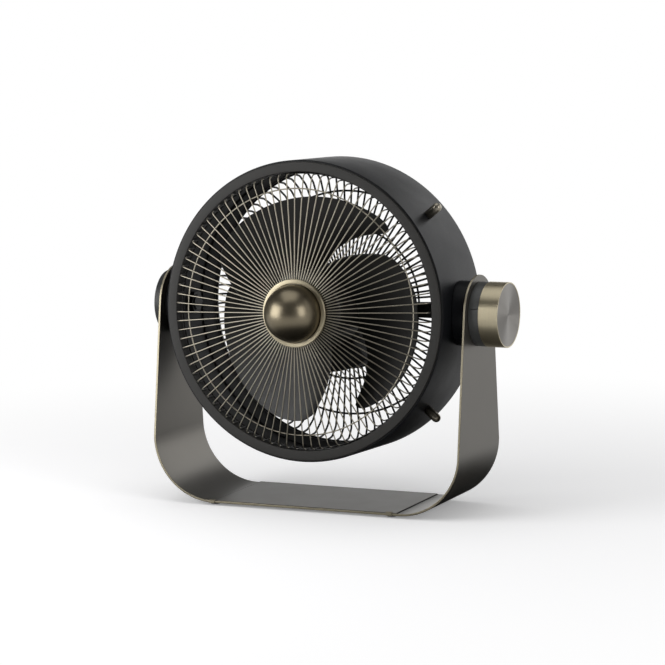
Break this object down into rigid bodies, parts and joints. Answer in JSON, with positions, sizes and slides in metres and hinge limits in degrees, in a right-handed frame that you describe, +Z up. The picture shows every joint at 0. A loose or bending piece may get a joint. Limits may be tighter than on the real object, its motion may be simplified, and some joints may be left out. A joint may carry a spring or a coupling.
{
  "type": "air circulator fan",
  "caption": "Drum-shaped air circulator on a bent steel yoke, with radial wire grilles, swept blades, a bullet-nosed centre cap, tilt pivots and a speed knob on one arm.",
  "frame": {"origin": "on the supporting surface, under the middle of the whole fan's bounding box", "axes": "+Z up, -Y the way the fan blows (its front), +X towards the speed knob, which is on the right seen from the front"},
  "size_m": [0.4242, 0.2002, 0.3977],
  "materials": {
    "strap_paint": "fine satin metallic paint on steel",
    "drum_paint": "satin near-black paint",
    "bezel_paint": "satin dark grey paint",
    "champagne_aluminium": "champagne anodised, brushed",
    "grille_wire": "champagne plated steel wire",
    "dark_wire": "dark coated steel wire",
    "polished_bronze": "polished dark bronze plating",
    "black_plastic": "matt black moulding",
    "blade_plastic": "satin black moulding",
    "bright_steel": "turned steel",
    "motor_iron": "laminated iron with windings",
    "natural_nylon": "natural nylon",
    "circuit_board": "green solder resist",
    "foot_rubber": "matt black rubber"
  },
  "bodies": {
    "stand": {"yoke_strap": "strap_paint", "base_cover": "strap_paint", "cover_clip_left": "champagne_aluminium", "cover_clip_right": "champagne_aluminium", "foot_front_left": "foot_rubber", "foot_rear_left": "foot_rubber", "foot_front_right": "foot_rubber", "foot_rear_right": "foot_rubber", "friction_washer_right": "natural_nylon", "friction_washer_left": "natural_nylon", "pivot_bush_right": "natural_nylon", "pivot_bush_left": "natural_nylon", "control_housing": "black_plastic", "control_board": "circuit_board", "speed_switch": "bright_steel", "left_cap": "black_plastic"},
    "head": {"drum_shell": "drum_paint", "front_bezel": "bezel_paint", "rear_ring": "black_plastic", "side_boss_right": "drum_paint", "side_boss_left": "drum_paint", "pivot_tube_right": "bright_steel", "pivot_bolt_left": "bright_steel", "pivot_nut_right": "bright_steel", "pivot_nut_left": "bright_steel", "boss_nut_right": "bright_steel", "boss_nut_left": "bright_steel", "tilt_peg_upper": "polished_bronze", "tilt_peg_lower": "polished_bronze", "front_grille": "grille_wire", "front_hoop": "grille_wire", "rear_grille": "dark_wire", "grille_trim_ring": "champagne_aluminium", "dome_cap": "polished_bronze", "dome_screw": "bright_steel", "rear_hoop_inner": "dark_wire", "rear_hoop_outer": "dark_wire", "motor_housing": "drum_paint", "motor_cover": "black_plastic", "stator_core": "motor_iron", "bearing_front": "bright_steel", "bearing_rear": "bright_steel", "cable_duct": "black_plastic"},
    "rotor": {"blade_wheel": "blade_plastic", "motor_shaft": "bright_steel", "blade_nut": "bright_steel", "drive_pin": "bright_steel", "magnet_rotor": "motor_iron"},
    "knob": {"speed_knob": "champagne_aluminium", "knob_core": "black_plastic", "switch_shaft": "bright_steel"}
  },
  "joints": [
    {"name": "tilt", "type": "hinge", "parent": "stand", "child": "head", "pos_m": [-0.0121, 0.01915, 0.2254], "axis": [-1, 0, 0], "range_deg": [-22.4, 87.6]},
    {"name": "fan_spin", "type": "hinge", "parent": "head", "child": "rotor", "pos_m": [-0.0121, 0.01915, 0.2254], "axis": [0, -0.9991, 0.0419], "continuous": true},
    {"name": "speed_select", "type": "hinge", "parent": "stand", "child": "knob", "pos_m": [-0.0121, 0.01915, 0.2254], "axis": [-1, 0, 0], "range_deg": [0, 135]}
  ]
}
